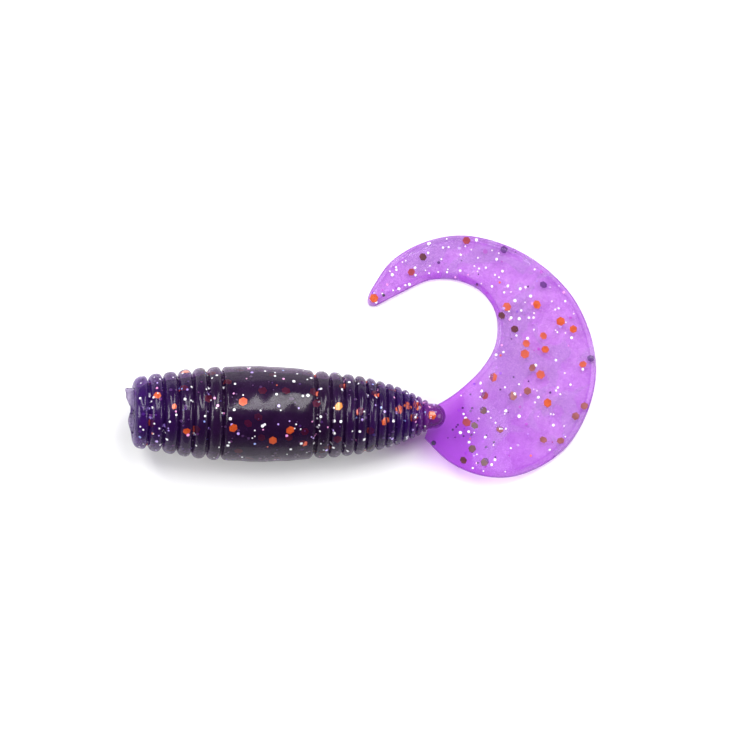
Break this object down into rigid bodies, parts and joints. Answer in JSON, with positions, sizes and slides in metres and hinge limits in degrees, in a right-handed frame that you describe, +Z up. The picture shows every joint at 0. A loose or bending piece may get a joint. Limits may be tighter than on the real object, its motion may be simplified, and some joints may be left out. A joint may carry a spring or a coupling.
{
  "type": "soft plastic worm",
  "caption": "Soft plastic fishing worm: a ribbed, bendable body with a smooth band and a thin curled tail, in glossy translucent violet plastic full of glitter flakes.",
  "frame": {"origin": "under the middle of the bait's bounding box, on the surface it lies on", "axes": "+X from the nose to the tail, +Y towards the side the tail curls to, +Z up from the surface it lies on; the body's axis lies in the XZ plane with the nose raised 5 degrees"},
  "size_m": [0.0504, 0.026, 0.0105],
  "materials": {
    "body_plastic": "glossy, oily, translucent dark violet plastisol",
    "tail_plastic": "glossy, thin and see-through violet plastisol",
    "gate_flash": "torn, translucent violet plastisol",
    "glitter_flake": "metallic orange-red film"
  },
  "bodies": {
    "smooth_band": {"smooth_band": "body_plastic", "body_flake_03": "glitter_flake", "body_flake_04": "glitter_flake", "body_flake_05": "glitter_flake", "body_flake_06": "glitter_flake", "body_flake_07": "glitter_flake"},
    "ring_01": {"ring_01": "body_plastic", "gate_flash_upper": "gate_flash", "gate_flash_lower": "gate_flash"},
    "ring_02": {"ring_02": "body_plastic", "body_flake_01": "glitter_flake"},
    "ring_03": {"ring_03": "body_plastic"},
    "ring_04": {"ring_04": "body_plastic", "body_flake_02": "glitter_flake"},
    "ring_05": {"ring_05": "body_plastic"},
    "ring_06": {"ring_06": "body_plastic"},
    "ring_07": {"ring_07": "body_plastic"},
    "ring_08": {"ring_08": "body_plastic", "body_flake_08": "glitter_flake", "body_flake_09": "glitter_flake"},
    "ring_09": {"ring_09": "body_plastic"},
    "ring_10": {"ring_10": "body_plastic"},
    "ring_11": {"ring_11": "body_plastic"},
    "ring_12": {"ring_12": "body_plastic"},
    "ring_13": {"ring_13": "body_plastic"},
    "ring_14": {"ring_14": "body_plastic"},
    "ring_15": {"ring_15": "body_plastic"},
    "ring_16": {"ring_16": "body_plastic"},
    "ring_17": {"ring_17": "body_plastic"},
    "tail_root": {"tail_root": "tail_plastic"},
    "tail_blade_01": {"tail_blade_01": "tail_plastic", "tail_flake_01": "glitter_flake", "tail_flake_02": "glitter_flake"},
    "tail_blade_02": {"tail_blade_02": "tail_plastic", "tail_flake_03": "glitter_flake", "tail_flake_04": "glitter_flake"},
    "tail_blade_03": {"tail_blade_03": "tail_plastic", "tail_flake_05": "glitter_flake", "tail_flake_06": "glitter_flake", "tail_flake_07": "glitter_flake"},
    "tail_blade_04": {"tail_blade_04": "tail_plastic", "tail_flake_08": "glitter_flake", "tail_flake_09": "glitter_flake", "tail_flake_10": "glitter_flake"},
    "tail_blade_05": {"tail_blade_05": "tail_plastic"},
    "tail_blade_06": {"tail_blade_06": "tail_plastic"},
    "tail_blade_07": {"tail_blade_07": "tail_plastic"},
    "tail_tip": {"tail_tip": "tail_plastic", "tail_flake_11": "glitter_flake"}
  },
  "joints": [
    {"name": "front_side_bend", "type": "hinge", "parent": "smooth_band", "child": "ring_06", "pos_m": [-0.01493, -0.00644, 0.00555], "axis": [-0.0872, 0, -0.9962], "range_deg": [-4.41, 4.41], "stiffness_Nm_per_rad": 0.086},
    {"name": "front_side_bend_2", "type": "hinge", "parent": "ring_05", "child": "ring_04", "pos_m": [-0.01806, -0.00644, 0.00583], "axis": [-0.0872, 0, -0.9962], "range_deg": [-4.8, 4.8]},
    {"name": "front_side_bend_3", "type": "hinge", "parent": "ring_03", "child": "ring_02", "pos_m": [-0.0212, -0.00644, 0.0061], "axis": [-0.0872, 0, -0.9962], "range_deg": [-5.46, 5.46]},
    {"name": "front_lift_bend", "type": "hinge", "parent": "ring_06", "child": "ring_05", "pos_m": [-0.0165, -0.00644, 0.00569], "axis": [0, 1, 0], "range_deg": [-4.57, 4.57], "stiffness_Nm_per_rad": 0.0719},
    {"name": "front_lift_bend_2", "type": "hinge", "parent": "ring_04", "child": "ring_03", "pos_m": [-0.01963, -0.00644, 0.00596], "axis": [0, 1, 0], "range_deg": [-5.11, 5.11]},
    {"name": "front_lift_bend_3", "type": "hinge", "parent": "ring_02", "child": "ring_01", "pos_m": [-0.02276, -0.00644, 0.00624], "axis": [0, 1, 0], "range_deg": [-5.92, 5.92]},
    {"name": "rear_side_bend", "type": "hinge", "parent": "smooth_band", "child": "ring_07", "pos_m": [-0.00497, -0.00644, 0.00468], "axis": [0.0872, 0, 0.9962], "range_deg": [-4.76, 4.76], "stiffness_Nm_per_rad": 0.0681},
    {"name": "rear_side_bend_2", "type": "hinge", "parent": "ring_08", "child": "ring_09", "pos_m": [-0.00197, -0.00644, 0.00442], "axis": [0.0872, 0, 0.9962], "range_deg": [-4.11, 4.11]},
    {"name": "rear_side_bend_3", "type": "hinge", "parent": "ring_10", "child": "ring_11", "pos_m": [0.00055, -0.00644, 0.0042], "axis": [0.0872, 0, 0.9962], "range_deg": [-3.74, 3.74]},
    {"name": "rear_side_bend_4", "type": "hinge", "parent": "ring_12", "child": "ring_13", "pos_m": [0.00267, -0.00644, 0.00401], "axis": [0.0872, 0, 0.9962], "range_deg": [-3.55, 3.55]},
    {"name": "rear_side_bend_5", "type": "hinge", "parent": "ring_14", "child": "ring_15", "pos_m": [0.00446, -0.00644, 0.00386], "axis": [0.0872, 0, 0.9962], "range_deg": [-3.56, 3.56]},
    {"name": "rear_side_bend_6", "type": "hinge", "parent": "ring_16", "child": "ring_17", "pos_m": [0.00597, -0.00644, 0.00372], "axis": [0.0872, 0, 0.9962], "range_deg": [-3.89, 3.89]},
    {"name": "rear_lift_bend", "type": "hinge", "parent": "ring_07", "child": "ring_08", "pos_m": [-0.00341, -0.00644, 0.00454], "axis": [0, -1, 0], "range_deg": [-4.39, 4.39], "stiffness_Nm_per_rad": 0.065},
    {"name": "rear_lift_bend_2", "type": "hinge", "parent": "ring_09", "child": "ring_10", "pos_m": [-0.00066, -0.00644, 0.0043], "axis": [0, -1, 0], "range_deg": [-3.9, 3.9]},
    {"name": "rear_lift_bend_3", "type": "hinge", "parent": "ring_11", "child": "ring_12", "pos_m": [0.00165, -0.00644, 0.0041], "axis": [0, -1, 0], "range_deg": [-3.61, 3.61]},
    {"name": "rear_lift_bend_4", "type": "hinge", "parent": "ring_13", "child": "ring_14", "pos_m": [0.00361, -0.00644, 0.00393], "axis": [0, -1, 0], "range_deg": [-3.52, 3.52]},
    {"name": "rear_lift_bend_5", "type": "hinge", "parent": "ring_15", "child": "ring_16", "pos_m": [0.00525, -0.00644, 0.00379], "axis": [0, -1, 0], "range_deg": [-3.67, 3.67]},
    {"name": "rear_lift_bend_6", "type": "hinge", "parent": "ring_17", "child": "tail_root", "pos_m": [0.00663, -0.00644, 0.00367], "axis": [0, -1, 0], "range_deg": [-4.33, 4.33]},
    {"name": "tail_flap", "type": "hinge", "parent": "tail_root", "child": "tail_blade_01", "pos_m": [0.00971, -0.00777, 0.0034], "axis": [-0.0349, -0.9994, 0], "range_deg": [-24, 24], "stiffness_Nm_per_rad": 0.0004},
    {"name": "tail_sweep", "type": "hinge", "parent": "tail_blade_01", "child": "tail_blade_02", "pos_m": [0.01417, -0.00717, 0.00169], "axis": [0.226, -0.9741, 0], "range_deg": [-22, 22], "stiffness_Nm_per_rad": 0.0003},
    {"name": "tail_sweep_2", "type": "hinge", "parent": "tail_blade_02", "child": "tail_blade_03", "pos_m": [0.01803, -0.00427, 0.00042], "axis": [0.5298, -0.8481, 0], "range_deg": [-22, 22], "stiffness_Nm_per_rad": 0.0003},
    {"name": "tail_sweep_3", "type": "hinge", "parent": "tail_blade_03", "child": "tail_blade_04", "pos_m": [0.01969, 0.00163, 0.00041], "axis": [0.8491, -0.5283, 0], "range_deg": [-22, 22], "stiffness_Nm_per_rad": 0.00025},
    {"name": "tail_curl", "type": "hinge", "parent": "tail_blade_04", "child": "tail_blade_05", "pos_m": [0.01765, 0.00672, 0.0004], "axis": [0.9975, -0.0709, 0], "range_deg": [-22, 22], "stiffness_Nm_per_rad": 0.0002},
    {"name": "tail_curl_2", "type": "hinge", "parent": "tail_blade_05", "child": "tail_blade_06", "pos_m": [0.01372, 0.0097, 0.0004], "axis": [0.8332, 0.5529, 0], "range_deg": [-22, 22], "stiffness_Nm_per_rad": 0.0002},
    {"name": "tail_curl_3", "type": "hinge", "parent": "tail_blade_06", "child": "tail_blade_07", "pos_m": [0.00866, 0.01056, 0.00039], "axis": [0.3904, 0.9206, 0], "range_deg": [-22, 22], "stiffness_Nm_per_rad": 0.00015},
    {"name": "tail_curl_4", "type": "hinge", "parent": "tail_blade_07", "child": "tail_tip", "pos_m": [0.00348, 0.00832, 0.00038], "axis": [-0.1919, 0.9814, 0], "range_deg": [-22, 22], "stiffness_Nm_per_rad": 0.0001}
  ],
  "couplings": [
    {"joint": "front_side_bend_2", "follows": "front_side_bend", "ratio": 1.088},
    {"joint": "front_side_bend_3", "follows": "front_side_bend", "ratio": 1.238},
    {"joint": "front_lift_bend_2", "follows": "front_lift_bend", "ratio": 1.116},
    {"joint": "front_lift_bend_3", "follows": "front_lift_bend", "ratio": 1.295},
    {"joint": "rear_side_bend_2", "follows": "rear_side_bend", "ratio": 0.863},
    {"joint": "rear_side_bend_3", "follows": "rear_side_bend", "ratio": 0.784},
    {"joint": "rear_side_bend_4", "follows": "rear_side_bend", "ratio": 0.744},
    {"joint": "rear_side_bend_5", "follows": "rear_side_bend", "ratio": 0.746},
    {"joint": "rear_side_bend_6", "follows": "rear_side_bend", "ratio": 0.817},
    {"joint": "rear_lift_bend_2", "follows": "rear_lift_bend", "ratio": 0.888},
    {"joint": "rear_lift_bend_3", "follows": "rear_lift_bend", "ratio": 0.822},
    {"joint": "rear_lift_bend_4", "follows": "rear_lift_bend", "ratio": 0.8},
    {"joint": "rear_lift_bend_5", "follows": "rear_lift_bend", "ratio": 0.834},
    {"joint": "rear_lift_bend_6", "follows": "rear_lift_bend", "ratio": 0.986},
    {"joint": "tail_sweep_2", "follows": "tail_sweep", "ratio": 1},
    {"joint": "tail_sweep_3", "follows": "tail_sweep", "ratio": 1},
    {"joint": "tail_curl_2", "follows": "tail_curl", "ratio": 1},
    {"joint": "tail_curl_3", "follows": "tail_curl", "ratio": 1},
    {"joint": "tail_curl_4", "follows": "tail_curl", "ratio": 1}
  ]
}
